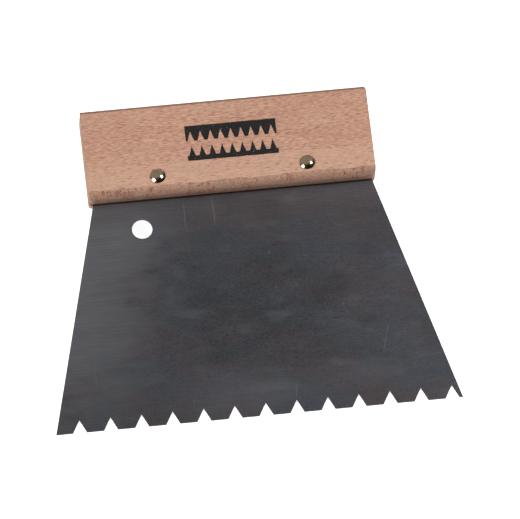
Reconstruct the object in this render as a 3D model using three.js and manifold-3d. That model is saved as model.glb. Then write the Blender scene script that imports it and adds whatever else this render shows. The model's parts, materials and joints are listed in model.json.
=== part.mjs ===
// Notched trowel: a one-piece beech handle riveted onto a flat steel comb blade.
//
// Units are millimetres. Inside the tool group, +X runs along the toothed edge, +Y from the
// blade towards the handle and +Z out of the front face. Its origin is in the middle of the
// handle's lower edge, on the blade's middle plane. The whole tool is then laid down on its
// back as it rests on a table, with +Z up and the origin under the middle of its box.

import * as THREE from 'three';
import { mergeVertices } from 'three/addons/utils/BufferGeometryUtils.js';
import Module from 'manifold-3d';

const wasm = await Module();
wasm.setup();

// Handle: a beech bar, sawn along its lower edge to take the blade
const HANDLE_WIDTH = 130.5;
const HANDLE_HEIGHT = 43.2;
const HANDLE_THICKNESS = 15;
const LOWER_ROUND = 4; // roundover of both lower edges, where the fingers press
const UPPER_ROUND = 2; // roundover of both upper edges
const SANDED_CORNERS = { lowerLeft: 2, lowerRight: 3.2, upperRight: 1.5, upperLeft: 0.6 };

// Blade: spring steel sheet, wider at the toothed edge
const BLADE_THICKNESS = 0.7;
const BLADE_REACH = 108.3; // from the handle's lower edge to the tooth tips
const TOOTHED_WIDTH = 183.4;
const NECK_WIDTH = 127; // where the blade goes into the handle
const TANG_DEPTH = 20; // hidden in the saw kerf
const KERF_SIDE_GAP = 0.15;
const KERF_END_GAP = 0.5;

// V notches, punched at a fixed pitch from the left end
const NOTCH_PITCH = 14;
const NOTCH_MOUTH = 6.3;
const NOTCH_DEPTH = 6;
const NOTCH_SKEW = 0.3; // the root sits this far right of the mouth's middle
const FIRST_NOTCH = 10.7; // from the left end to the first mouth's middle
const LEAST_END_LAND = 1; // a notch that would leave less steel at the right end is left out

// Hanging hole
const HOLE_DIAMETER = 9.2;
const HOLE_BELOW_HANDLE = 13.8;
const HOLE_LEFT_OF_MIDDLE = 42.7;

// Two-piece rivets: a pin from the front is pressed into a tube from the back
const RIVET_SPACING = 68;
const RIVET_MIDDLE_X = 0.6;
const RIVET_ABOVE_EDGE = 8.3;
const HEAD_DIAMETER = 6.9;
const HEAD_RIM = 0.4;
const HEAD_DOME = 1.3;
const TUBE_DIAMETER = 4;
const PIN_DIAMETER = 2.6;
const PIN_TIP_CHAMFER = 0.4;
const PIN_GAP = 0.1; // around the pin, inside the tube
const RIVET_HOLE_GAP = 0.15; // around the tube, in the wood and the steel
const HEAD_SEAT_GAP = 0.1; // under a head
const RIVET_END_GAP = 1; // between a shank's end and what it stops short of

const CUT_MARGIN = 5; // how far a cutting solid runs past what it cuts
const ARC_STEPS = 6; // straight steps in a quarter-round or a head's dome
const TURN_STEPS = 36; // straight steps round a hole or a rivet

const beech = new THREE.MeshStandardMaterial({ color: '#c09a81', roughness: 0.6, metalness: 0 });
const steel = new THREE.MeshStandardMaterial({ color: '#4c4b50', roughness: 0.45, metalness: 0.9 });
const nickel = new THREE.MeshStandardMaterial({ color: '#b9ad92', roughness: 0.2, metalness: 1 });

// A closed solid from a three.js geometry, with its shared vertices merged
function solidFrom(geometry) {
  geometry.deleteAttribute('normal');
  geometry.deleteAttribute('uv');
  const merged = mergeVertices(geometry);
  const corners = [];
  for (let i = 0; i < merged.index.count; i += 3) {
    const [a, b, c] = [0, 1, 2].map((k) => merged.index.getX(i + k));
    if (a !== b && b !== c && c !== a) corners.push(a, b, c);
  }
  return new wasm.Manifold(new wasm.Mesh({
    numProp: 3,
    vertProperties: new Float32Array(merged.attributes.position.array),
    triVerts: new Uint32Array(corners),
  }));
}

// A named mesh from a solid
function meshFrom(name, solid, material) {
  const { vertProperties, triVerts } = solid.getMesh();
  const geometry = new THREE.BufferGeometry();
  geometry.setAttribute('position', new THREE.BufferAttribute(vertProperties, 3));
  geometry.setIndex(new THREE.BufferAttribute(triVerts, 1));
  geometry.computeVertexNormals();
  const mesh = new THREE.Mesh(geometry, material);
  mesh.name = name;
  return mesh;
}

// A rectangle with its own radius at each corner
function roundedRectangle(left, bottom, right, top, corners) {
  const { lowerLeft, lowerRight, upperRight, upperLeft } = corners;
  const quarter = Math.PI / 2;
  const shape = new THREE.Shape();
  shape.moveTo(left + lowerLeft, bottom);
  shape.lineTo(right - lowerRight, bottom);
  shape.absarc(right - lowerRight, bottom + lowerRight, lowerRight, -quarter, 0);
  shape.lineTo(right, top - upperRight);
  shape.absarc(right - upperRight, top - upperRight, upperRight, 0, quarter);
  shape.lineTo(left + upperLeft, top);
  shape.absarc(left + upperLeft, top - upperLeft, upperLeft, quarter, 2 * quarter);
  shape.lineTo(left, bottom + lowerLeft);
  shape.absarc(left + lowerLeft, bottom + lowerLeft, lowerLeft, 2 * quarter, 3 * quarter);
  return shape;
}

// A plate of a shape, centred on its thickness
function plate(shape, thickness, steps) {
  const options = { depth: thickness, bevelEnabled: false, curveSegments: steps };
  return new THREE.ExtrudeGeometry(shape, options).translate(0, 0, -thickness / 2);
}

// A turned solid with its axis along Z, from a half profile of [radius, height] points
function turned(profile) {
  const points = profile.map(([radius, height]) => new THREE.Vector2(radius, height));
  return new THREE.LatheGeometry(points, TURN_STEPS).rotateX(Math.PI / 2);
}

function rivetXs() {
  return [-1, 1].map((side) => RIVET_MIDDLE_X + side * RIVET_SPACING / 2);
}

// The round hole that a rivet's tube passes through, the full depth of the tool
function rivetHole(x) {
  const radius = TUBE_DIAMETER / 2 + RIVET_HOLE_GAP;
  const length = HANDLE_THICKNESS + 2 * CUT_MARGIN;
  const drill = new THREE.CylinderGeometry(radius, radius, length, TURN_STEPS);
  return solidFrom(drill.rotateX(Math.PI / 2).translate(x, RIVET_ABOVE_EDGE, 0));
}

// The bar's section, its thickness along X and its height along Y
function barSection() {
  const half = HANDLE_THICKNESS / 2;
  const quarter = Math.PI / 2;
  const lower = half - LOWER_ROUND;
  const upper = half - UPPER_ROUND;
  const upperCentre = HANDLE_HEIGHT - UPPER_ROUND;
  const section = new THREE.Shape();
  section.moveTo(-lower, 0);
  section.lineTo(lower, 0);
  section.absarc(lower, LOWER_ROUND, LOWER_ROUND, -quarter, 0);
  section.lineTo(half, upperCentre);
  section.absarc(upper, upperCentre, UPPER_ROUND, 0, quarter);
  section.lineTo(-upper, HANDLE_HEIGHT);
  section.absarc(-upper, upperCentre, UPPER_ROUND, quarter, Math.PI);
  section.lineTo(-half, LOWER_ROUND);
  section.absarc(-lower, LOWER_ROUND, LOWER_ROUND, Math.PI, Math.PI + quarter);
  return section;
}

// The moulded bar, cut to its outline seen from the front, then sawn and drilled
function makeHandle() {
  const barLength = HANDLE_WIDTH + 2 * CUT_MARGIN;
  const bar = solidFrom(plate(barSection(), barLength, ARC_STEPS).rotateY(Math.PI / 2));
  const side = HANDLE_WIDTH / 2;
  const outline = roundedRectangle(-side, 0, side, HANDLE_HEIGHT, SANDED_CORNERS);
  const front = solidFrom(plate(outline, HANDLE_THICKNESS + 2 * CUT_MARGIN, ARC_STEPS));

  const kerfWidth = BLADE_THICKNESS + 2 * KERF_SIDE_GAP;
  const kerfTop = TANG_DEPTH + KERF_END_GAP;
  const saw = new THREE.BoxGeometry(HANDLE_WIDTH + 2 * CUT_MARGIN, kerfTop + CUT_MARGIN, kerfWidth);
  const kerf = solidFrom(saw.translate(0, (kerfTop - CUT_MARGIN) / 2, 0));

  let wood = bar.intersect(front).subtract(kerf);
  for (const x of rivetXs()) wood = wood.subtract(rivetHole(x));
  return meshFrom('handle', wood, beech);
}

// Mouth middles of the notches, as many as the toothed edge takes
function notchXs() {
  const leftEnd = -TOOTHED_WIDTH / 2;
  const lastMiddle = TOOTHED_WIDTH - NOTCH_MOUTH / 2 - LEAST_END_LAND;
  const xs = [];
  for (let along = FIRST_NOTCH; along <= lastMiddle; along += NOTCH_PITCH) xs.push(leftEnd + along);
  return xs;
}

// The sheet's outline with its notches and hanging hole, drilled for the rivets
function makeBlade() {
  const edge = -BLADE_REACH;
  const flare = (TOOTHED_WIDTH - NECK_WIDTH) / 2 / BLADE_REACH;
  const tangHalf = NECK_WIDTH / 2 - flare * TANG_DEPTH;
  const outline = new THREE.Shape();
  outline.moveTo(-TOOTHED_WIDTH / 2, edge);
  for (const x of notchXs()) {
    outline.lineTo(x - NOTCH_MOUTH / 2, edge);
    outline.lineTo(x + NOTCH_SKEW, edge + NOTCH_DEPTH);
    outline.lineTo(x + NOTCH_MOUTH / 2, edge);
  }
  outline.lineTo(TOOTHED_WIDTH / 2, edge);
  outline.lineTo(tangHalf, TANG_DEPTH);
  outline.lineTo(-tangHalf, TANG_DEPTH);
  const hole = new THREE.Path();
  hole.absarc(-HOLE_LEFT_OF_MIDDLE, -HOLE_BELOW_HANDLE, HOLE_DIAMETER / 2, 0, 2 * Math.PI);
  outline.holes.push(hole);

  let sheet = solidFrom(plate(outline, BLADE_THICKNESS, TURN_STEPS));
  for (const x of rivetXs()) sheet = sheet.subtract(rivetHole(x));
  return meshFrom('blade', sheet, steel);
}

// Radius of the sphere that a head's dome is a slice of
const HEAD_SPHERE = ((HEAD_DIAMETER / 2) ** 2 + HEAD_DOME ** 2) / (2 * HEAD_DOME);

// The outside of a domed head on a flat face, from its edge to its crown
function headProfile(underside) {
  const sweep = Math.asin(HEAD_DIAMETER / 2 / HEAD_SPHERE);
  const points = [[HEAD_DIAMETER / 2, underside]];
  for (let step = 0; step < ARC_STEPS; step += 1) {
    const angle = sweep * (1 - step / ARC_STEPS);
    const height = HEAD_SPHERE * (Math.cos(angle) - Math.cos(sweep));
    points.push([HEAD_SPHERE * Math.sin(angle), underside + HEAD_RIM + height]);
  }
  points.push([0, underside + HEAD_RIM + HEAD_DOME]);
  return points;
}

// Heights along the rivet's axis, from the handle's middle plane, head end up
const headUnderside = HANDLE_THICKNESS / 2 + HEAD_SEAT_GAP;
const tubeMouth = RIVET_END_GAP - HANDLE_THICKNESS / 2;
const boreBottom = HANDLE_THICKNESS / 2;
const pinTip = RIVET_END_GAP - boreBottom;

// The solid half: a domed head with a chamfered shank
function makeRivetPin(name) {
  const radius = PIN_DIAMETER / 2;
  const pin = turned([
    [0, pinTip],
    [radius - PIN_TIP_CHAMFER, pinTip],
    [radius, pinTip + PIN_TIP_CHAMFER],
    [radius, headUnderside],
    ...headProfile(headUnderside),
  ]);
  return meshFrom(name, solidFrom(pin), nickel);
}

// The hollow half: the same head with a tube, which goes in from the back
function makeRivetCap(name) {
  const bore = PIN_DIAMETER / 2 + PIN_GAP;
  const cap = turned([
    [0, boreBottom],
    [bore, boreBottom],
    [bore, tubeMouth],
    [TUBE_DIAMETER / 2, tubeMouth],
    [TUBE_DIAMETER / 2, headUnderside],
    ...headProfile(headUnderside),
  ]);
  const mesh = meshFrom(name, solidFrom(cap), nickel);
  mesh.rotation.x = Math.PI;
  return mesh;
}

function makeRivet(side, x) {
  const rivet = new THREE.Group();
  rivet.add(makeRivetPin(`rivet_pin_${side}`), makeRivetCap(`rivet_cap_${side}`));
  rivet.position.set(x, RIVET_ABOVE_EDGE, 0);
  return rivet;
}

// How far the tool tips about X to lie on its toothed edge and on a round of this radius,
// whose centre is at this height and depth in the tool
function tiltOnto(centreY, centreZ, radius) {
  const toothTip = new THREE.Vector2(-BLADE_REACH, -BLADE_THICKNESS / 2);
  const span = toothTip.sub(new THREE.Vector2(centreY, centreZ));
  return Math.PI - span.angle() + Math.asin(radius / span.length());
}

// Lying on its back, the tool touches the table along its toothed edge and on whatever
// stands out most behind it: the crowns of the back rivet heads or the handle's roundover
function restingTilt() {
  const crown = headUnderside + HEAD_RIM + HEAD_DOME;
  const onHeads = tiltOnto(RIVET_ABOVE_EDGE, HEAD_SPHERE - crown, HEAD_SPHERE);
  const onHandle = tiltOnto(LOWER_ROUND, LOWER_ROUND - HANDLE_THICKNESS / 2, LOWER_ROUND);
  return Math.max(onHeads, onHandle);
}

const tool = new THREE.Group();
tool.add(makeHandle(), makeBlade());
const [leftX, rightX] = rivetXs();
tool.add(makeRivet('left', leftX), makeRivet('right', rightX));
tool.rotation.x = restingTilt();

// The origin goes under the middle of the resting tool's box
const box = new THREE.Box3().setFromObject(tool, true);
const middle = box.getCenter(new THREE.Vector3());
tool.position.set(-middle.x, -middle.y, -box.min.z);

const trowel = new THREE.Group();
trowel.add(tool);

export default trowel;
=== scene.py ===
# %% [markdown]
# # A notched trowel
# A notched trowel is the simplest of hand tools: a beech bar, a sheet of spring steel with V
# notches cut along its wide edge, and two rivets that hold them together. There is nothing to
# hide behind, so the work goes into three surfaces: sanded wood, rolled steel and plated rivets.
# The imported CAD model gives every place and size; this script only makes it look real.

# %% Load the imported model
import json
import math

import bmesh
import bpy
from mathutils import Matrix, Vector


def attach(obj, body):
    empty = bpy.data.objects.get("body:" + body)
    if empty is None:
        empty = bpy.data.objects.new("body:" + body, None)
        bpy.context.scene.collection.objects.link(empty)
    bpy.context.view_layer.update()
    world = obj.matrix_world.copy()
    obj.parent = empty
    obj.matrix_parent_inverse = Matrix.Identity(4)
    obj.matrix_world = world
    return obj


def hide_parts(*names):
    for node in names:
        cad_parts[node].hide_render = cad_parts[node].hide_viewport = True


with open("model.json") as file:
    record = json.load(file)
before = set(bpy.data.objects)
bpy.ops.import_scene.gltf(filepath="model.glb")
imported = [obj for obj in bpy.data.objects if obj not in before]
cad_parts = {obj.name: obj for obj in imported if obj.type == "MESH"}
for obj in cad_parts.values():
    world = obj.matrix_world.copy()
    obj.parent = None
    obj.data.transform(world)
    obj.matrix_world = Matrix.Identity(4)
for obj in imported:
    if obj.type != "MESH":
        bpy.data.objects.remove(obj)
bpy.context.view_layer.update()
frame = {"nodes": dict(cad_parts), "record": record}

# %% [markdown]
# ## The tool's own axes
# The tool lies on its back, tipped a little, so nothing in it is square to the world. It is far
# easier to model it upright in its own axes, in millimetres, and to lay each finished mesh down
# at the end. The flat faces that the CAD record names give those axes exactly: the handle's top
# edge faces along the tool, and its front face looks out of it.

# %% Measure the tool's axes and sizes from the CAD model
MM = 0.001


def face_axis(name):
    mounts = frame["record"]["mounts"]
    return Vector(next(m["axis"] for m in mounts if m["name"] == name)).normalized()


UP_THE_TOOL = face_axis("handle_top")
OUT_OF_FRONT = face_axis("handle_front")
ACROSS = UP_THE_TOOL.cross(OUT_OF_FRONT)


def reach(node, direction):
    """Lowest and highest places of a CAD node along a direction, in millimetres."""
    places = [v.co.dot(direction) / MM for v in frame["nodes"][node].data.vertices]
    return min(places), max(places)


handle_left, handle_right = reach("handle", ACROSS)
handle_low, handle_high = reach("handle", UP_THE_TOOL)
handle_back, handle_front = reach("handle", OUT_OF_FRONT)
blade_left, blade_right = reach("blade", ACROSS)
blade_low, blade_high = reach("blade", UP_THE_TOOL)
blade_back, blade_front = reach("blade", OUT_OF_FRONT)

HANDLE_WIDTH = handle_right - handle_left
HANDLE_HEIGHT = handle_high - handle_low
HANDLE_THICKNESS = handle_front - handle_back
BLADE_WIDTH = blade_right - blade_left
BLADE_REACH = handle_low - blade_low
BLADE_THICKNESS = blade_front - blade_back
TANG_DEPTH = blade_high - handle_low

# The tool's origin: middle of the handle's lower edge, on the blade's middle plane
TOOL_ORIGIN = MM * (
    ACROSS * (blade_left + blade_right) / 2
    + UP_THE_TOOL * handle_low
    + OUT_OF_FRONT * (blade_back + blade_front) / 2
)
TURN = Matrix((ACROSS, UP_THE_TOOL, OUT_OF_FRONT)).transposed().to_4x4()
LAY_DOWN = Matrix.Translation(TOOL_ORIGIN) @ TURN @ Matrix.Scale(MM, 4)
TIP = math.atan2(UP_THE_TOOL.z, UP_THE_TOOL.y)

# Where the rivets go through, and the width of their heads
RIVETS = {}
for side in ("left", "right"):
    rivet_left, rivet_right = reach(f"rivet_pin_{side}", ACROSS)
    rivet_low, rivet_high = reach(f"rivet_pin_{side}", UP_THE_TOOL)
    RIVETS[side] = ((rivet_left + rivet_right) / 2, (rivet_low + rivet_high) / 2 - handle_low)
HEAD_WIDTH = rivet_right - rivet_left
TUBE_RADIUS = 2.0
HOLE_GAP = 0.15          # all round the tube, in the wood and in the steel
RIVET_HOLE = TUBE_RADIUS + HOLE_GAP

print(f"handle {HANDLE_WIDTH:.1f} x {HANDLE_HEIGHT:.1f} x {HANDLE_THICKNESS:.1f} mm")
print(f"blade {BLADE_WIDTH:.1f} mm wide, {BLADE_REACH:.1f} mm out, {BLADE_THICKNESS:.2f} mm thick")
print(f"tipped {math.degrees(TIP):.2f} degrees")

# %% [markdown]
# ## Colours and nodes
# Colours are picked as sRGB hex, the way a paint chart gives them, but shaders work with linear
# light, so one function turns them. A second one adds any node, sets it up and wires it. With
# those two, a material reads as a recipe: patterns first, then coats of colour, then the surface.

# %% Helpers for colours and nodes
EASED = {"interpolation_type": "SMOOTHSTEP"}    # settings of a range that starts and ends softly
COLOURS = {"data_type": "RGBA"}                 # settings of a mix of two colours


def colour(hex_code):
    """An sRGB hex colour as linear RGBA."""
    parts = [int(hex_code[i : i + 2], 16) / 255 for i in (1, 3, 5)]
    return (*[p / 12.92 if p <= 0.04045 else ((p + 0.055) / 1.055) ** 2.4 for p in parts], 1.0)


def add(tree, kind, *in_order, by_name=None, **settings):
    """A new node with its settings, and its live inputs filled in order or by name.

    An input takes a value, a socket, or another node, which then gives its first live output.
    """
    made = tree.nodes.new("ShaderNode" + kind)
    for key, value in settings.items():
        setattr(made, key, value)
    filled = list(zip([socket for socket in made.inputs if socket.enabled], in_order))
    filled += [(made.inputs[name], value) for name, value in (by_name or {}).items()]
    for socket, value in filled:
        if isinstance(value, bpy.types.Node):
            value = next(output for output in value.outputs if output.enabled)
        if isinstance(value, bpy.types.NodeSocket):
            tree.links.new(value, socket)
        else:
            socket.default_value = value
    return made


def new_material(name):
    material = bpy.data.materials.new(name)
    material.use_nodes = True
    material.node_tree.nodes.clear()
    return material


def give_surface(material, inputs):
    """The material's surface, from the inputs that its recipe has worked out."""
    shader = add(material.node_tree, "BsdfPrincipled", by_name=inputs)
    add(material.node_tree, "OutputMaterial", by_name={"Surface": shader})


def tool_millimetres(tree):
    """Object coordinates turned back into the tool's own axes, in millimetres."""
    place = add(tree, "TexCoord").outputs["Object"]
    centre = TURN.to_3x3().transposed() @ TOOL_ORIGIN / MM
    return add(tree, "Mapping", place, -centre, (-TIP, 0, 0), (1 / MM, 1 / MM, 1 / MM))


def coated(tree, tone, *coats):
    """A colour with others laid over it in turn, each by an amount from 0 to 1 and a strength."""
    for amount, strength, hex_code in coats:
        share = add(tree, "Math", amount, strength, operation="MULTIPLY")
        tone = add(tree, "Mix", share, tone, colour(hex_code), **COLOURS)
    return tone


# %% [markdown]
# ## Beech
# The bar is steamed European beech, planed, sanded and left bare. Beech is told by its rays:
# thin ribbons that run from the bark to the heart. The front face is flat-sawn, so it cuts the
# rays end on and shows them as short brown dashes along the grain; where the lower edge rolls
# over, the cutter has laid the same rays open as larger reddish curls, and the round is painted
# darker: partly burnish, partly painted shade. Each dash is one cell of a solid 3-D pattern, long
# through the thickness, so on the bar's narrow upper edge the same dashes show as broader flecks.

# %% Beech: sanded, bare wood - pale pinkish tan, dry, with brown ray dashes
LOWER_ROUND = 4.0        # the two long edges that the fingers press
UPPER_ROUND = 2.0
# painted light: the face is paler low down, as if it turned a little more towards the lamps
PAINTED_LIGHT_LINE = 14.4       # the front face is a touch paler below this height
PITH_HEIGHT = 30.0       # where the middle of the tree was: this far up the bar
PITH_BEHIND = 70.0       # and this far behind it
RING_WIDTH = 2.6
GRAIN_BEND = 4.5         # how far the grain wanders from straight, mm
WOOD_RELIEF = 0.09       # height of the sanded wood's relief, mm


def anywhere(tree, mm, size, detail=2.0, rough=0.5, shift=(0, 0, 0)):
    """Soft random variation, its lumps measured in millimetres."""
    lumps = {"Vector": mm, "Location": shift, "Scale": [1 / s for s in size]}
    return add(tree, "TexNoise", add(tree, "Mapping", by_name=lumps), 1.0, detail, rough)


def dashes(tree, grain, cell, reach, chance, shift=(0, 0, 0)):
    """One dash in some of the cells, as long in each direction as its share of the cell."""
    crowd = {"Vector": grain, "Location": shift, "Scale": [1 / s for s in cell]}
    cells = add(tree, "TexVoronoi", add(tree, "Mapping", by_name=crowd), 1.0, feature="F1")
    pick = add(tree, "SeparateColor", cells.outputs["Color"])
    kept = add(tree, "Math", pick.outputs["Red"], chance, operation="LESS_THAN")
    length = add(tree, "MapRange", pick.outputs["Green"], 0.0, 1.0, reach * 0.55, reach, **EASED)
    out = add(tree, "Math", cells.outputs["Distance"], length, operation="DIVIDE")
    inside = add(tree, "Math", 1.0, out, operation="SUBTRACT", use_clamp=True)
    solid = add(tree, "MapRange", inside, 0.0, 0.45, **EASED)
    return add(tree, "Math", solid, kept, operation="MULTIPLY")


def wandering(tree, mm):
    """Tool coordinates bent a little, so that the grain never runs dead straight."""
    wander = anywhere(tree, mm, (42, 13, 16)).outputs["Color"]
    bend = add(tree, "VectorMath", wander, (0.5, 0.5, 0.5), operation="SUBTRACT")
    bend = add(tree, "VectorMath", bend, (0.0, GRAIN_BEND, GRAIN_BEND), operation="MULTIPLY")
    return add(tree, "VectorMath", mm, bend, operation="ADD")


def growth_rings(tree, along):
    """The late wood of the rings: wide arcs about a pith far behind the face."""
    up = add(tree, "Math", along.outputs["Y"], PITH_HEIGHT, operation="SUBTRACT")
    out = add(tree, "Math", along.outputs["Z"], PITH_BEHIND, operation="ADD")
    up_squared = add(tree, "Math", up, up, operation="MULTIPLY")
    squared = add(tree, "Math", out, out, up_squared, operation="MULTIPLY_ADD")
    away = add(tree, "Math", squared, operation="SQRT")
    ring = add(tree, "Math", away, RING_WIDTH, operation="DIVIDE")
    return add(tree, "MapRange", add(tree, "Math", ring, operation="FRACT"), 0.5, 1.0, **EASED)


def beech_material():
    material = new_material("beech_sanded_bare")
    tree = material.node_tree
    mm = tool_millimetres(tree)
    grain = wandering(tree, mm)
    place = add(tree, "SeparateXYZ", mm)
    along = add(tree, "SeparateXYZ", grain)
    facing = add(tree, "SeparateXYZ", add(tree, "TexCoord").outputs["Normal"])
    late_wood = growth_rings(tree, along)

    fibre = anywhere(tree, grain, (2.4, 0.34, 0.6), detail=1.0)
    thread = anywhere(tree, grain, (14, 0.75, 1.2), detail=0.0, shift=(2, 9, 4))
    broad = anywhere(tree, grain, (60, 6, 12), detail=1.0)
    dash = dashes(tree, grain, (5.2, 0.82, 12), 0.30, 0.75)
    fine_dash = dashes(tree, grain, (3.6, 0.62, 8), 0.34, 0.85, shift=(5, 3, 1))
    paler_low_painted_light = (along.outputs["Y"], PAINTED_LIGHT_LINE, PAINTED_LIGHT_LINE - 0.7)

    pale_fibre = add(tree, "MapRange", fibre, 0.30, 0.70, **EASED)
    tone = add(tree, "Mix", pale_fibre, colour("#b2806a"), colour("#d7af97"), **COLOURS)
    tone = coated(
        tree, tone,
        (add(tree, "MapRange", thread, 0.50, 0.75, **EASED), 0.14, "#b07a62"),
        (add(tree, "MapRange", broad, 0.35, 0.7, **EASED), 0.35, "#c8a087"),
        (late_wood, 0.15, "#a8745b"),
        # painted light: the lower part of the front face painted a touch paler
        (add(tree, "MapRange", *paler_low_painted_light, **EASED), 0.30, "#d8b49b"),
        (fine_dash, 0.55, "#93604a"),
        (dash, 0.62, "#8a533c"),
    )
    tone = rubbed_and_shaded_edges(tree, mm, place, tone)

    pores = anywhere(tree, mm, (0.6, 0.35, 0.35), detail=1.0, rough=0.7)
    pores = add(tree, "MapRange", pores, 0.3, 0.7, **EASED)
    end_tone = add(tree, "Mix", pores, colour("#7d5c48"), colour("#a37f67"), **COLOURS)
    end_tone = coated(tree, end_tone, (late_wood, 0.45, "#6b4a38"))
    # the end grain is darker, and the mask also reaches onto the sanded rounds at each end as painted
    # shade, where a lamp would light them
    end_on = add(tree, "Math", facing.outputs["X"], operation="ABSOLUTE")
    end_grain_and_shade = add(tree, "MapRange", end_on, 0.3, 0.8, 0.0, 0.8, **EASED)
    tone = add(tree, "Mix", end_grain_and_shade, tone, end_tone, **COLOURS)
    tone = printed(tree, mm, facing.outputs["Z"], tone)

    sunken = add(tree, "Math", dash, 0.8, operation="MULTIPLY")
    relief = add(tree, "Math", fibre, sunken, operation="SUBTRACT")
    sunken = add(tree, "Math", fine_dash, 0.5, operation="MULTIPLY")
    relief = add(tree, "Math", relief, sunken, operation="SUBTRACT")
    relief = {"Height": relief, "Strength": 0.5, "Distance": WOOD_RELIEF * MM}
    give_surface(material, {
        "Base Color": tone,
        "Roughness": add(tree, "MapRange", fibre, 0.2, 0.8, 0.55, 0.7, **EASED),
        "Specular IOR Level": 0.3,
        "Normal": add(tree, "Bump", by_name=relief),
    })
    return material


# %% [markdown]
# ## Rubbed and shaded edges
# The long edges are rounded by a cutter, and a cutter rubs: the lower round comes out browner and
# more speckled than the sanded faces, its brown partly rubbing and partly painted shade, which
# deepens towards the blade. On it the rays lie open in little groups of reddish curls. The upper
# round is darkened by painted shade. Beside the steel the wood is dark, partly from dust and rust
# in the saw kerf and partly as painted shade.

# %% The rounded long edges, with their opened rays, their painted shade and the shaded, dirty kerf


def opened_rays(tree, mm):
    """Broken rings and dots about warped cell hearts, where a group of rays comes out."""
    swirl = anywhere(tree, mm, (2.0, 2.0, 2.0), detail=1.0).outputs["Color"]
    swirl = add(tree, "VectorMath", swirl, (2.6, 2.6, 2.6), operation="MULTIPLY")
    warped = add(tree, "VectorMath", mm, swirl, operation="ADD")
    crowd = {"Vector": warped, "Scale": (1 / 3.6, 1 / 4.4, 1 / 4.4)}
    heart = add(tree, "TexVoronoi", add(tree, "Mapping", by_name=crowd), 1.0, feature="F1")
    off_ring = add(tree, "Math", heart, 0.36, operation="SUBTRACT")
    off_ring = add(tree, "Math", off_ring, operation="ABSOLUTE")
    ring = add(tree, "MapRange", off_ring, 0.04, 0.17, 1.0, 0.0, **EASED)
    dot = add(tree, "MapRange", heart, 0.09, 0.24, 1.0, 0.0, **EASED)
    gaps = anywhere(tree, mm, (0.9, 1.3, 1.3), detail=0.0, shift=(8, 1, 0))
    broken = add(tree, "MapRange", gaps, 0.44, 0.56, **EASED)
    groups = anywhere(tree, mm, (9, 40, 40), detail=1.0, shift=(3, 0, 0))
    group = add(tree, "MapRange", groups, 0.45, 0.52, **EASED)
    arc = add(tree, "Math", ring, broken, operation="MULTIPLY")
    curl = add(tree, "Math", arc, dot, operation="MAXIMUM")
    return add(tree, "Math", curl, group, operation="MULTIPLY")


def rubbed_and_shaded_edges(tree, mm, place, tone):
    """The wood's colour with the rubbed rounds, their painted shade, and the kerf's dirt and shade."""
    height = place.outputs["Y"]
    uneven = add(tree, "MapRange", anywhere(tree, mm, (6, 20, 20)), 0.3, 0.7, -0.35, 0.35, **EASED)
    level = add(tree, "Math", height, uneven, operation="ADD")
    round_over = add(tree, "MapRange", level, LOWER_ROUND * 0.86, LOWER_ROUND * 1.04, 1.0, 0.0, **EASED)
    # painted shade: the lower round grows darker towards the blade
    shade_low_on_round = add(tree, "MapRange", level, LOWER_ROUND * 0.30, LOWER_ROUND * 0.75, 1.0, 0.0, **EASED)
    # painted shade along the upper round, where the top edge turns away from the light
    near_top = (HANDLE_HEIGHT - UPPER_ROUND * 0.9, HANDLE_HEIGHT - UPPER_ROUND * 0.6)
    depth = add(tree, "Math", place.outputs["Z"], operation="ABSOLUTE")
    flat_top = HANDLE_THICKNESS / 2 - UPPER_ROUND
    on_round = add(tree, "MapRange", depth, flat_top - 0.4, flat_top + 0.4, **EASED)
    upper_round_shade = add(tree, "MapRange", height, *near_top, **EASED)
    upper_round_shade = add(tree, "Math", upper_round_shade, on_round, operation="MULTIPLY")

    speckle = anywhere(tree, mm, (0.9, 0.6, 0.6), detail=1.0, rough=0.7)
    speckle = add(tree, "MapRange", speckle, 0.32, 0.68, **EASED)
    # the lower round: speckled, rubbed wood, painted darker than the face, partly as painted shade
    rubbed_and_shaded = add(tree, "Mix", speckle, colour("#8b6855"), colour("#bb9480"), **COLOURS)
    rubbed_and_shaded = coated(
        tree, rubbed_and_shaded,
        (shade_low_on_round, 0.45, "#6e5445"),
        (dashes(tree, mm, (1.6, 0.8, 0.8), 0.36, 0.6), 0.35, "#68473a"),
        (opened_rays(tree, mm), 1.0, "#74402a"),
    )
    share = add(tree, "Math", round_over, 0.8, operation="MULTIPLY")
    tone = add(tree, "Mix", share, tone, rubbed_and_shaded, **COLOURS)

    # painted shade with some dirt: the wood goes dark beside the steel, where the kerf's gap is in
    # shade
    beside_blade = add(tree, "MapRange", depth, 0.7, 2.0, 1.0, 0.0, **EASED)
    at_bottom = add(tree, "MapRange", height, 0.2, 0.7, 1.0, 0.0, **EASED)
    kerf_dirt_and_shade = add(tree, "Math", beside_blade, at_bottom, operation="MULTIPLY")
    return coated(tree, tone, (upper_round_shade, 0.75, "#745543"), (kerf_dirt_and_shade, 0.85, "#2a1d17"))


# %% [markdown]
# ## The pictogram
# Tools like this carry a print on the handle. Here it is a plain picture of what the tool does:
# the comb's teeth, and below them the ribs of adhesive that they leave, both in one black ink.
# Screen ink on bare wood skips where a pore or a ray opens, so a fine grain thins the ink.

# %% The printed pictogram, in screen ink: heights and widths in mm, from the handle's lower edge
PRINT_MIDDLE = 1.8       # its middle across the front face
TOOTH_PITCH = 4.6
PRINT_WIDTH = 9 * TOOTH_PITCH
COMB_TOP = 31.2
COMB_BOTTOM = 23.8       # of the teeth
COMB_NOTCH = 4.6
RIB_TOP = 21.4
RIB_VALLEY = 16.6
RIB_BOTTOM = 14.2
LEAST_WAVE = 0.35        # below this share of its height the wave is cut flat, for blunt teeth
INK = "#17181a"
INK_EDGE = 0.12          # how far the ink's edge wavers


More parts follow.
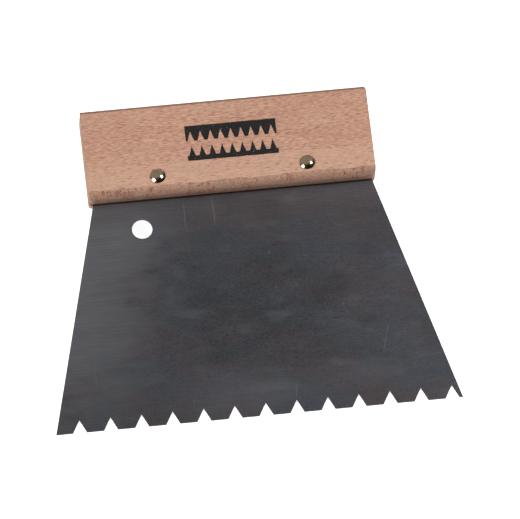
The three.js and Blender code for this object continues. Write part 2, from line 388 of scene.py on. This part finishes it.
def printed(tree, mm, facing_front, wood):
    """The wood's colour with the pictogram printed on the front face."""
    place = add(tree, "SeparateXYZ", mm)
    shake = anywhere(tree, mm, (0.5, 0.5, 0.5))
    shake = add(tree, "MapRange", shake, 0.2, 0.8, -INK_EDGE, INK_EDGE, **EASED)
    x = add(tree, "Math", place.outputs["X"], PRINT_MIDDLE, operation="SUBTRACT")
    x = add(tree, "Math", x, shake, operation="ADD")
    y = add(tree, "Math", place.outputs["Y"], shake, operation="ADD")
    off_middle = add(tree, "Math", x, operation="ABSOLUTE")
    within = add(tree, "Math", off_middle, PRINT_WIDTH / 2, operation="LESS_THAN")

    # A triangle wave across the print: 0 in the middle of a tooth, 1 in the middle of a notch
    shifted = add(tree, "Math", x, TOOTH_PITCH / 2, operation="ADD")
    wave = add(tree, "Math", shifted, TOOTH_PITCH / 2, operation="PINGPONG")
    wave = add(tree, "Math", wave, TOOTH_PITCH / 2, operation="DIVIDE")
    peak = add(tree, "MapRange", wave, LEAST_WAVE, 1.0)
    comb_edge = add(tree, "Math", peak, COMB_NOTCH, COMB_BOTTOM, operation="MULTIPLY_ADD")
    comb = add(tree, "Math", y, comb_edge, operation="GREATER_THAN")
    below_top = add(tree, "Math", y, COMB_TOP, operation="LESS_THAN")
    comb = add(tree, "Math", comb, below_top, operation="MULTIPLY")
    rib_edge = add(tree, "Math", peak, RIB_TOP - RIB_VALLEY, RIB_VALLEY, operation="MULTIPLY_ADD")
    ribs = add(tree, "Math", y, rib_edge, operation="LESS_THAN")
    above_bottom = add(tree, "Math", y, RIB_BOTTOM, operation="GREATER_THAN")
    ribs = add(tree, "Math", ribs, above_bottom, operation="MULTIPLY")

    skip = anywhere(tree, mm, (0.9, 0.35, 0.5), detail=3.0)
    cover = add(tree, "MapRange", skip, 0.66, 0.72, 1.0, 0.15, **EASED)
    cover = add(tree, "Math", cover, within, operation="MULTIPLY")
    front = add(tree, "Math", facing_front, 0.9, operation="GREATER_THAN")
    cover = add(tree, "Math", cover, front, operation="MULTIPLY")
    picture = add(tree, "Math", comb, ribs, operation="MAXIMUM")
    picture = add(tree, "Math", picture, cover, operation="MULTIPLY")
    return add(tree, "Mix", picture, wood, colour(INK), **COLOURS)


BEECH = beech_material()
print("beech material:", len(BEECH.node_tree.nodes), "nodes")

# %% [markdown]
# ## Blade steel
# The sheet is cold-rolled spring steel, left as it came from the mill: dark, with a satin grey
# skin, fine rolling lines along the wide direction, a faint blue and brown haze, and lighter
# places where hands and work have rubbed it. It is a metal, so its colour is its reflection; the
# haze is a change of that colour and the rolling lines are a change of roughness and a fine bump.

# %% Blade steel: cold-rolled, satin, hazed - dark grey with a soft broad reflection
# Places rubbed lighter: middle across and along, half-sizes (mm), and how strongly
RUBBED = {
    "left side": ((-92, -40), (60, 74), 0.90),
    "corner by the handle": ((-62, -12), (44, 30), 0.80),
    "low in the middle": ((-6, -97), (40, 15), 0.20),
    "thumb mark": ((25.7, -5.5), (6.5, 3.4), 0.34),
    "low right": ((50, -92), (22, 8), 0.12),
}
DARK_MIDDLE = ((8, -60), (58, 38), 0.55)

# Hairlines: middle, length, lean (mm across for each mm up) and strength
SCRATCHES = (
    ((-23.0, -9.0), 17, 0.03, 0.50), ((-9.7, -7.5), 17, -0.05, 0.55), ((-71, -77), 26, 0.02, 0.22),
    ((61, -76), 18, 0.32, 0.30), ((18, -97), 10, 0.15, 0.30), ((44, -60), 9, -0.5, 0.20),
)
HANDLE_HAZE = 24.0       # how far down the blade the brown haze by the handle goes, mm
STEEL_RELIEF = 0.02      # height of the rolling lines, mm


def spot(tree, place, middle, half_size, wobble):
    """1 at the middle of an uneven oval, easing to 0 at its rim."""
    squares = []
    for axis, at, half in zip("XY", middle, half_size):
        off = add(tree, "Math", place.outputs[axis], at, operation="SUBTRACT")
        share = add(tree, "Math", off, half, operation="DIVIDE")
        squares.append(add(tree, "Math", share, share, operation="MULTIPLY"))
    far = add(tree, "Math", add(tree, "Math", *squares, operation="ADD"), operation="SQRT")
    far = add(tree, "Math", far, wobble, operation="ADD")
    return add(tree, "MapRange", far, 0.15, 1.1, 1.0, 0.0, **EASED)


def scratch(tree, place, middle, length, lean, wobble):
    """A hairline up the blade, leaning a little and wavering."""
    up = add(tree, "Math", place.outputs["Y"], middle[1], operation="SUBTRACT")
    line = add(tree, "Math", place.outputs["X"], middle[0], operation="SUBTRACT")
    leaning = add(tree, "Math", up, lean, operation="MULTIPLY")
    line = add(tree, "Math", line, leaning, operation="SUBTRACT")
    line = add(tree, "Math", wobble, 1.6, line, operation="MULTIPLY_ADD")
    off_line = add(tree, "Math", line, operation="ABSOLUTE")
    off_middle = add(tree, "Math", up, operation="ABSOLUTE")
    thin = add(tree, "MapRange", off_line, 0.05, 0.22, 1.0, 0.0, **EASED)
    ends = add(tree, "MapRange", off_middle, length * 0.2, length * 0.5, 1.0, 0.0, **EASED)
    return add(tree, "Math", thin, ends, operation="MULTIPLY")


def blade_marks(tree, mm, place, wobble, grit):
    """Hairlines, a few bright specks and short nicks, all broken up by the grit."""
    marks = 0.0
    for middle, length, lean, strength in SCRATCHES:
        line = scratch(tree, place, middle, length, lean, wobble)
        line = add(tree, "Math", line, strength, operation="MULTIPLY")
        marks = add(tree, "Math", line, marks, operation="MAXIMUM")
    for cell, reach, chance, strength in (
        ((7.0, 6.0, 9.0), 0.035, 0.5, 0.6),      # specks
        ((1.6, 15.0, 9.0), 0.11, 0.16, 0.35),    # nicks
    ):
        few = dashes(tree, mm, cell, reach, chance)
        few = add(tree, "Math", few, strength, operation="MULTIPLY")
        marks = add(tree, "Math", marks, few, operation="MAXIMUM")
    worn = add(tree, "MapRange", grit, 0.3, 0.6, 0.15, 1.0, **EASED)
    return add(tree, "Math", marks, worn, operation="MULTIPLY")


def steel_material():
    material = new_material("spring_steel_cold_rolled")
    tree = material.node_tree
    mm = tool_millimetres(tree)
    place = add(tree, "SeparateXYZ", mm)

    haze = anywhere(tree, mm, (40, 20, 40))
    cloud = anywhere(tree, mm, (24, 11, 20), rough=0.6, shift=(7, 2, 0))
    wisps = anywhere(tree, mm, (20, 9, 16), detail=4.0, rough=0.55, shift=(1, 5, 2))
    lines = anywhere(tree, mm, (24, 0.42, 6), detail=4.0, rough=0.75)
    grit = anywhere(tree, mm, (0.9, 0.55, 0.6), detail=3.0, rough=0.8)
    wobble = add(tree, "Math", cloud, 0.5, operation="SUBTRACT")
    uneven = add(tree, "Math", wobble, 14.0, place.outputs["Y"], operation="MULTIPLY_ADD")
    # painted shade with some grime: the blade darkens just below the handle, where it meets the wood
    shade_and_grime_by_handle = add(tree, "MapRange", place.outputs["Y"], -0.75, -0.1, **EASED)

    # The sheared edges are darker: partly torn metal, partly painted shade
    facing = add(tree, "SeparateXYZ", add(tree, "TexCoord").outputs["Normal"])
    flat = add(tree, "Math", facing.outputs["Z"], operation="ABSOLUTE")
    sheared_and_shaded = add(tree, "MapRange", flat, 0.3, 0.6, 1.0, 0.0, **EASED)

    brownish = add(tree, "MapRange", haze, 0.40, 0.60, **EASED)
    tone = add(tree, "Mix", brownish, colour("#5b646d"), colour("#656064"), **COLOURS)
    middle, half_size, strength = DARK_MIDDLE
    tone = coated(
        tree, tone,
        (add(tree, "MapRange", cloud, 0.42, 0.66, **EASED), 0.5, "#4d4c55"),
        (spot(tree, place, middle, half_size, wobble), strength, "#404349"),
    )
    for middle, half_size, strength in RUBBED.values():
        light = spot(tree, place, middle, half_size, wobble)
        tone = coated(tree, tone, (light, strength, "#979ca3"))
    tone = coated(
        tree, tone,
        (add(tree, "MapRange", wisps, 0.50, 0.74, **EASED), 0.45, "#7b838b"),
        (add(tree, "MapRange", uneven, -HANDLE_HAZE, 0.0, **EASED), 0.5, "#7c7577"),
        (add(tree, "MapRange", lines, 0.38, 0.62, **EASED), 0.42, "#37373b"),
        (add(tree, "MapRange", grit, 0.38, 0.62, **EASED), 0.36, "#787a80"),
        (blade_marks(tree, mm, place, wobble, grit), 1.0, "#b4b2b2"),
        (shade_and_grime_by_handle, 0.55, "#1c191a"),
        (sheared_and_shaded, 0.7, "#2c2b2e"),
    )

    rough = add(tree, "MapRange", lines, 0.3, 0.7, 0.34, 0.44, **EASED)
    cloudy = add(tree, "MapRange", cloud, 0.3, 0.7, -0.03, 0.05, **EASED)
    relief = add(tree, "Math", grit, 0.4, lines, operation="MULTIPLY_ADD")
    relief = {"Height": relief, "Strength": 0.3, "Distance": STEEL_RELIEF * MM}
    give_surface(material, {
        "Base Color": tone,
        "Metallic": 1.0,
        "Roughness": add(tree, "Math", rough, cloudy, operation="ADD"),
        "Normal": add(tree, "Bump", by_name=relief),
    })
    return material


STEEL = steel_material()
print("steel material:", len(STEEL.node_tree.nodes), "nodes")

# %% [markdown]
# ## Rivet metal
# The rivets are pressed from thin steel and plated with nickel that has warmed a little to
# straw. The heads are small mirrors, so they show the studio in miniature; a slightly uneven
# dome and a few fine marks keep them from looking like chrome balls.

# %% Rivet metal: bright nickel plate, gone slightly straw
DENT_RELIEF = 0.12       # height of the dome's unevenness, mm


def rivet_material():
    material = new_material("nickel_plate_warm")
    tree = material.node_tree
    mm = tool_millimetres(tree)
    tarnish = anywhere(tree, mm, (2.6, 2.6, 2.6), detail=1.0)
    tarnish = add(tree, "MapRange", tarnish, 0.36, 0.64, **EASED)
    marks = anywhere(tree, mm, (0.5, 0.12, 0.5), detail=3.0)
    dents = anywhere(tree, mm, (1.6, 1.6, 1.6), detail=1.0)
    relief = {"Height": dents, "Strength": 0.5, "Distance": DENT_RELIEF * MM}
    give_surface(material, {
        "Base Color": add(tree, "Mix", tarnish, colour("#d8c1ab"), colour("#c3b892"), **COLOURS),
        "Metallic": 1.0,
        "Roughness": add(tree, "MapRange", marks, 0.3, 0.8, 0.10, 0.24, **EASED),
        "Normal": add(tree, "Bump", by_name=relief),
    })
    return material


RIVET_METAL = rivet_material()

# %% [markdown]
# ## Finishing a piece
# Every piece is modelled in the tool's axes and then laid down: its bmesh is moved as a whole,
# so the object itself stays unturned at the origin, as the CAD nodes do. Smooth shading with
# weighted normals keeps the big flats truly flat beside their small roundovers.

# %% Turn a bmesh into a finished piece


def finish_piece(shape, name, material, node, crease=40):
    """Lays a bmesh down as a finished object that stands for a CAD node."""
    bmesh.ops.remove_doubles(shape, verts=shape.verts, dist=0.0005)
    bmesh.ops.recalc_face_normals(shape, faces=shape.faces)
    shape.transform(LAY_DOWN)
    mesh = bpy.data.meshes.new(name)
    shape.to_mesh(mesh)
    shape.free()
    mesh.shade_smooth()
    mesh.set_sharp_from_angle(angle=math.radians(crease))
    mesh.materials.append(material)
    piece = bpy.data.objects.new(name, mesh)
    bpy.context.scene.collection.objects.link(piece)
    weighted = piece.modifiers.new("flat_faces_stay_flat", "WEIGHTED_NORMAL")
    weighted.keep_sharp = True
    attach(piece, "root")
    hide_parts(node)
    print(f"{name}: {len(mesh.polygons)} faces")


# %% [markdown]
# ## The handle
# A joiner would plane a long beech moulding, saw a kerf into its lower edge, cut it into bars
# and ease the ends on a belt sander. The mesh is made in the same order. The section starts as
# eight points, its corners are bevelled to the long radii, and it is extruded along the grain.
# Cuts across the bar then give the vertices that the sanded ends need, and a short formula for
# a circular arc moves them. The rivet holes come last, as they do on the bench: two drills are
# taken away from the bar, and the drills are thrown away.

# %% Handle: the moulding's section and its long bar
BLADE_GAP = 0.15         # between the blade and each wall of the kerf
ABOVE_TANG = 0.5         # left free at the kerf's bottom
KERF_WIDTH = BLADE_THICKNESS + 2 * BLADE_GAP
KERF_DEPTH = TANG_DEPTH + ABOVE_TANG
KERF_LIP = 0.3           # the kerf's two edges, worn round
SANDED_CORNERS = {(-1, -1): 2.0, (1, -1): 3.2, (1, 1): 1.5, (-1, 1): 0.6}  # (side, low or high)
END_EASE = 0.45


def cut_across(shape, point, direction):
    """New edges where a plane crosses the shape, which stays whole."""
    everything = shape.verts[:] + shape.edges[:] + shape.faces[:]
    bmesh.ops.bisect_plane(shape, geom=everything, plane_co=point, plane_no=direction, dist=1e-5)


def arc_drop(distance, radius):
    """How far a quarter-round of this radius has fallen away at a distance from its end."""
    inside = max(0.0, radius - distance)
    return radius - math.sqrt(radius**2 - inside**2)


def moulding():
    """The long bar with its kerf and its two pairs of long radii."""
    shape = bmesh.new()
    half = HANDLE_THICKNESS / 2
    slot = KERF_WIDTH / 2
    points = [(0, slot), (0, half), (HANDLE_HEIGHT, half), (HANDLE_HEIGHT, -half)]
    points += [(0, -half), (0, -slot), (KERF_DEPTH, -slot), (KERF_DEPTH, slot)]
    corners = [shape.verts.new((-HANDLE_WIDTH / 2, y, z)) for y, z in points]
    shape.faces.new(corners)
    rounds = ((0, half, LOWER_ROUND, 14), (HANDLE_HEIGHT, half, UPPER_ROUND, 9), (0, slot, KERF_LIP, 3))
    for height, depth, radius, steps in rounds:
        corners = [v for v in shape.verts if math.hypot(v.co.y - height, abs(v.co.z) - depth) < 0.01]
        bmesh.ops.bevel(
            shape, geom=corners, offset=radius, offset_type="OFFSET", affect="VERTICES",
            segments=steps, profile=0.5, material=-1, clamp_overlap=False,
        )
    swept = bmesh.ops.extrude_face_region(shape, geom=shape.faces[:])
    far = [v for v in swept["geom"] if isinstance(v, bmesh.types.BMVert)]
    bmesh.ops.translate(shape, verts=far, vec=(HANDLE_WIDTH, 0, 0))
    return shape


# %% Handle: the sanded ends
END_CUTS = 16            # cuts across the bar for each radius
STEEP_PART = 0.03        # share of the radius left off, where the arc would stand upright


def sand_ends(shape):
    """Rounds the four corners seen from the front and eases the edge right round each end."""
    widest = max(SANDED_CORNERS.values())
    for side in (-1, 1):
        for radius in (END_EASE, widest):
            for step in range(1, END_CUTS + 1):
                inward = radius * (1 - math.cos(math.pi / 2 * step / END_CUTS))
                cut_across(shape, (side * (HANDLE_WIDTH / 2 - inward), 0, 0), (1, 0, 0))
    middle = HANDLE_HEIGHT / 2
    for v in shape.verts:
        side = 1 if v.co.x > 0 else -1
        from_end = HANDLE_WIDTH / 2 - abs(v.co.x)
        for level in (-1, 1):
            radius = SANDED_CORNERS[(side, level)]
            edge = middle + level * middle
            from_edge = abs(v.co.y - edge)
            if from_edge < radius and from_end < radius:
                drop = arc_drop(from_end + STEEP_PART * radius, radius)
                v.co.y = edge - level * (drop + from_edge * (radius - drop) / radius)
        ease = arc_drop(from_end + STEEP_PART * END_EASE, END_EASE)
        v.co.y = middle + (v.co.y - middle) * (1 - ease / middle)
        v.co.z *= 1 - ease / (HANDLE_THICKNESS / 2)


# %% Handle: the rivet holes


def drilled(shape):
    """The bar with a hole right through it for each rivet."""
    drills = bmesh.new()
    for x, y in RIVETS.values():
        bit = bmesh.ops.create_cone(
            drills, cap_ends=True, segments=48, radius1=RIVET_HOLE, radius2=RIVET_HOLE,
            depth=HANDLE_THICKNESS * 2,
        )["verts"]
        bmesh.ops.translate(drills, verts=bit, vec=(x, y, 0))
    bench = []
    for name, solid in (("bar_on_the_bench", shape), ("drills", drills)):
        bmesh.ops.recalc_face_normals(solid, faces=solid.faces)
        mesh = bpy.data.meshes.new(name)
        solid.to_mesh(mesh)
        solid.free()
        bench.append(bpy.data.objects.new(name, mesh))
        bpy.context.scene.collection.objects.link(bench[-1])
    cut = bench[0].modifiers.new("drill_through", "BOOLEAN")
    cut.operation = "DIFFERENCE"
    cut.solver = "EXACT"
    cut.object = bench[1]
    ready = bench[0].evaluated_get(bpy.context.evaluated_depsgraph_get())
    result = bmesh.new()
    result.from_mesh(ready.to_mesh())
    ready.to_mesh_clear()
    for thing in bench:
        bpy.data.meshes.remove(thing.data)
    return result


bar = moulding()
sand_ends(bar)
bar = drilled(bar)
print("open edges left in the bar:", sum(not e.is_manifold for e in bar.edges))
finish_piece(bar, "beech_bar", BEECH, "handle", crease=35)

# %% [markdown]
# ## The blade
# The sheet is sheared to a trapezoid, its notches are punched one after another at a fixed pitch
# from the left end, and the hanging hole and two rivet holes are punched. The outline and the
# holes are drawn as closed loops of edges, filled flat, and given the sheet's thickness. A very
# fine bevel on every cut edge catches the light and tells the eye that this is thin metal.

# %% Blade: outline, notches, holes and thickness
NOTCH_PITCH = 14.0
NOTCH_MOUTH = 6.3
NOTCH_DEPTH = 6.0
NOTCH_SKEW = 0.3         # how far a notch's point lies right of its mouth's middle
FIRST_NOTCH = 10.7       # its mouth's middle, from the left end
NOTCH_COUNT = 13
NECK_WIDTH = 127.0
HOLE_RADIUS = 4.6
HOLE_PLACE = (-42.7, -13.8)
EDGE_BREAK = 0.07
SHARP = 1.0              # radians; an edge that turns more than this is a cut edge


def draw_loop(shape, points):
    """A closed loop of edges through flat points."""
    verts = [shape.verts.new((x, y, -BLADE_THICKNESS / 2)) for x, y in points]
    return [shape.edges.new((a, b)) for a, b in zip(verts, verts[1:] + verts[:1])]


def blade_outline():
    """The sheet's corners: the toothed edge from left to right, then the tang."""
    edge = -BLADE_REACH
    points = [(-BLADE_WIDTH / 2, edge)]
    for step in range(NOTCH_COUNT):
        x = -BLADE_WIDTH / 2 + FIRST_NOTCH + step * NOTCH_PITCH
        points.append((x - NOTCH_MOUTH / 2, edge))
        points.append((x + NOTCH_SKEW, edge + NOTCH_DEPTH))
        points.append((x + NOTCH_MOUTH / 2, edge))
    flare = (BLADE_WIDTH - NECK_WIDTH) / 2 / BLADE_REACH
    tang_half = NECK_WIDTH / 2 - flare * TANG_DEPTH
    points += [(BLADE_WIDTH / 2, edge), (tang_half, TANG_DEPTH), (-tang_half, TANG_DEPTH)]
    return points


def punched_sheet():
    """The flat sheet with its holes, its thickness and its broken edges."""
    shape = bmesh.new()
    edges = draw_loop(shape, blade_outline())
    holes = [(HOLE_PLACE, HOLE_RADIUS)] + [(place, RIVET_HOLE) for place in RIVETS.values()]
    for place, radius in holes:
        rim = bmesh.ops.create_circle(shape, segments=72, radius=radius)["verts"]
        bmesh.ops.translate(shape, verts=rim, vec=(*place, -BLADE_THICKNESS / 2))
        edges += {e for v in rim for e in v.link_edges}
    bmesh.ops.triangle_fill(shape, edges=edges, use_beauty=True, normal=(0, 0, 1))
    bmesh.ops.dissolve_limit(
        shape, angle_limit=0.001, use_dissolve_boundaries=False,
        verts=shape.verts, edges=shape.edges,
    )
    swept = bmesh.ops.extrude_face_region(shape, geom=shape.faces[:])
    top = [v for v in swept["geom"] if isinstance(v, bmesh.types.BMVert)]
    bmesh.ops.translate(shape, verts=top, vec=(0, 0, BLADE_THICKNESS))
    bmesh.ops.recalc_face_normals(shape, faces=shape.faces)
    rims = [e for e in shape.edges if len(e.link_faces) == 2 and e.calc_face_angle() > SHARP]
    rims = [e for e in rims if abs(e.verts[0].co.z - e.verts[1].co.z) < 1e-6]
    bmesh.ops.bevel(
        shape, geom=rims, offset=EDGE_BREAK, offset_type="OFFSET", affect="EDGES",
        segments=2, profile=0.5, material=-1, clamp_overlap=True,
    )
    return shape


finish_piece(punched_sheet(), "comb_blade", STEEL, "blade", crease=30)

# %% [markdown]
# ## The rivets
# Each rivet is two turned pieces: a pin with a domed head goes in from the front and is pressed
# into a tube with the same head from the back. A turned piece is a half profile spun about its
# axis. The dome itself is an arc, and it is spun too: one vertex, swung about the centre of the
# sphere that the dome is a slice of.

# %% Rivets: profiles and turning
RIM_HEIGHT = 0.4
DOME_HEIGHT = 1.3
RIM_CHAMFER = 0.12
DOME_STEPS = 14
TURN_STEPS = 56


def head_profile(shape, radius, seat):
    """The dome from its crown to its rim and down to the seat; returns the last vertex."""
    ball = (radius**2 + DOME_HEIGHT**2) / (2 * DOME_HEIGHT)
    crown = shape.verts.new((0, 0, seat + RIM_HEIGHT + DOME_HEIGHT))
    centre = (0, 0, crown.co.z - ball)
    swing = bmesh.ops.spin(
        shape, geom=[crown], cent=centre, axis=(0, 1, 0),
        angle=math.asin(radius / ball), steps=DOME_STEPS, use_merge=False,
    )
    rim = next(g for g in swing["geom_last"] if isinstance(g, bmesh.types.BMVert))
    return down_to(shape, rim, [(radius, seat + RIM_CHAMFER), (radius - RIM_CHAMFER, seat)])


def down_to(shape, vert, places):
    """Carries a profile on through more [radius, height] places."""
    for x, z in places:
        fresh = shape.verts.new((x, 0, z))
        shape.edges.new((vert, fresh))
        vert = fresh
    return vert


def turned_rivet(radius, seat, places, x, y, flip):
    """A head and its shank, turned, and stood at its place in the handle."""
    shape = bmesh.new()
    down_to(shape, head_profile(shape, radius, seat), places)
    bmesh.ops.spin(
        shape, geom=shape.verts[:] + shape.edges[:], cent=(0, 0, 0), axis=(0, 0, 1),
        angle=2 * math.pi, steps=TURN_STEPS, use_merge=True,
    )
    bmesh.ops.remove_doubles(shape, verts=shape.verts, dist=0.0005)
    if flip:
        over = Matrix.Rotation(math.pi, 3, "X")
        bmesh.ops.rotate(shape, verts=shape.verts, cent=(0, 0, 0), matrix=over)
    bmesh.ops.translate(shape, verts=shape.verts, vec=(x, y, 0))
    return shape


# %% Rivets: a pin and a cap at each place
PIN_RADIUS = 1.3
PIN_CHAMFER = 0.4
BORE_RADIUS = 1.4
HEAD_GAP = 0.02          # the head stands off the wood by this much
SHORT_OF_FACE = 1.0      # both shanks stop this far short of the far face
half_depth = HANDLE_THICKNESS / 2
SEAT = half_depth + HEAD_GAP
SHANK_END = SHORT_OF_FACE - half_depth

PIN_SHANK = [
    (PIN_RADIUS, SEAT), (PIN_RADIUS, SHANK_END + PIN_CHAMFER),
    (PIN_RADIUS - PIN_CHAMFER, SHANK_END), (0, SHANK_END),
]
CAP_TUBE = [
    (TUBE_RADIUS, SEAT), (TUBE_RADIUS, SHANK_END),
    (BORE_RADIUS, SHANK_END), (BORE_RADIUS, half_depth), (0, half_depth),
]
for side, (x, y) in RIVETS.items():
    pin = turned_rivet(HEAD_WIDTH / 2, SEAT, PIN_SHANK, x, y, flip=False)
    finish_piece(pin, f"rivet_pin_head_{side}", RIVET_METAL, f"rivet_pin_{side}")
    cap = turned_rivet(HEAD_WIDTH / 2, SEAT, CAP_TUBE, x, y, flip=True)
    finish_piece(cap, f"rivet_cap_head_{side}", RIVET_METAL, f"rivet_cap_{side}")

# %% [markdown]
# ## Table, light and camera
# The tool lies on a light table: opal acrylic, lit from below, so that a dark blade stands out
# and a punched hole reads as a hole. Two soft boxes, one at each side, light the flat faces
# evenly and leave the rounded long edges to fall into shade. Steel and plate show the lamps
# themselves, so the room around stays dim.

# %% The light table
TABLE_SIZE = 6.0         # metres
TABLE_GLOW = 0.85
MOTTLES_PER_METRE = 9.0  # hardly to be seen, but no real sheet is quite even


def table_material():
    material = new_material("opal_acrylic")
    tree = material.node_tree
    place = add(tree, "TexCoord").outputs["Object"]
    mottle = add(tree, "TexNoise", place, MOTTLES_PER_METRE, 2.0)
    mottle = add(tree, "MapRange", mottle, 0.3, 0.7, **EASED)
    give_surface(material, {
        "Base Color": add(tree, "Mix", mottle, colour("#efeeec"), colour("#f3f2f0"), **COLOURS),
        "Roughness": 0.55,
        "Emission Color": colour("#ffffff"),
        "Emission Strength": TABLE_GLOW,
    })
    return material


def make_table():
    shape = bmesh.new()
    bmesh.ops.create_grid(shape, x_segments=1, y_segments=1, size=TABLE_SIZE / 2)
    mesh = bpy.data.meshes.new("table")
    shape.to_mesh(mesh)
    shape.free()
    mesh.materials.append(table_material())
    table = bpy.data.objects.new("table", mesh)
    bpy.context.scene.collection.objects.link(table)


make_table()

# %% Lights: two soft boxes and a dim room
LAMP_DISTANCE = 1.5
SOFT_BOXES = {           # direction from the tool, width in metres, watts
    "left_box": ((-0.714, -0.407, 0.569), 0.68, 15.0),
    "right_box": ((0.634, 0.055, 0.774), 0.3, 12.5),
}
PALE_WALL = (-0.14, 0.71, 0.69)   # the room is paler this way: behind the tool and overhead
WALL_FADE = (0.30, 0.68)          # how squarely one must look at it: first grey, full grey


def soft_box(name, direction, width, watts):
    """A square lamp that faces the tool from a direction."""
    lamp = bpy.data.lights.new(name, "AREA")
    lamp.size = width
    lamp.energy = watts
    holder = bpy.data.objects.new(name, lamp)
    place = Vector(direction).normalized() * LAMP_DISTANCE
    facing_tool = place.to_track_quat("Z", "Y").to_matrix().to_4x4()
    holder.matrix_world = Matrix.Translation(place) @ facing_tool
    bpy.context.scene.collection.objects.link(holder)


def dim_studio():
    """The room: paler behind the tool and overhead, dark in front, as one wall of a studio is."""
    world = bpy.data.worlds.new("dim_studio")
    world.use_nodes = True
    room = world.node_tree
    room.nodes.clear()
    look = add(room, "TexCoord").outputs["Generated"]
    towards = add(room, "VectorMath", look, PALE_WALL, operation="DOT_PRODUCT")
    paler = add(room, "MapRange", towards, *WALL_FADE, **EASED)
    walls = add(room, "Mix", paler, colour("#1a1a1a"), colour("#978f8b"), **COLOURS)
    sky = add(room, "Background", by_name={"Color": walls, "Strength": 1.0})
    add(room, "OutputWorld", by_name={"Surface": sky})
    return world


for name, (direction, width, watts) in SOFT_BOXES.items():
    soft_box(name, direction, width, watts)
bpy.context.scene.world = dim_studio()
bpy.context.scene.view_settings.view_transform = "Standard"

# %% Camera
CAMERA_DISTANCE = 4.0
CAMERA_AZIMUTH = -10.05     # from straight behind the toothed edge, to the left
CAMERA_ELEVATION = 64.217
CAMERA_ROLL = 3.732
AIM = Vector((8.11, -3.75, 11.42)) * MM
VIEW_WIDTH = 234.05 * MM    # what the frame's width takes in at the tool

camera_data = bpy.data.cameras.new("camera")
camera_data.sensor_width = 36.0
camera_data.lens = camera_data.sensor_width * CAMERA_DISTANCE / VIEW_WIDTH
camera_data.clip_end = 20.0
camera = bpy.data.objects.new("camera", camera_data)
azimuth = math.radians(CAMERA_AZIMUTH)
elevation = math.radians(CAMERA_ELEVATION)
away = Vector((
    math.sin(azimuth) * math.cos(elevation),
    -math.cos(azimuth) * math.cos(elevation),
    math.sin(elevation),
))
level = away.to_track_quat("Z", "Y").to_matrix().to_4x4()
roll = Matrix.Rotation(math.radians(CAMERA_ROLL), 4, "Z")
camera.matrix_world = Matrix.Translation(AIM + away * CAMERA_DISTANCE) @ level @ roll
bpy.context.scene.collection.objects.link(camera)
bpy.context.scene.camera = camera
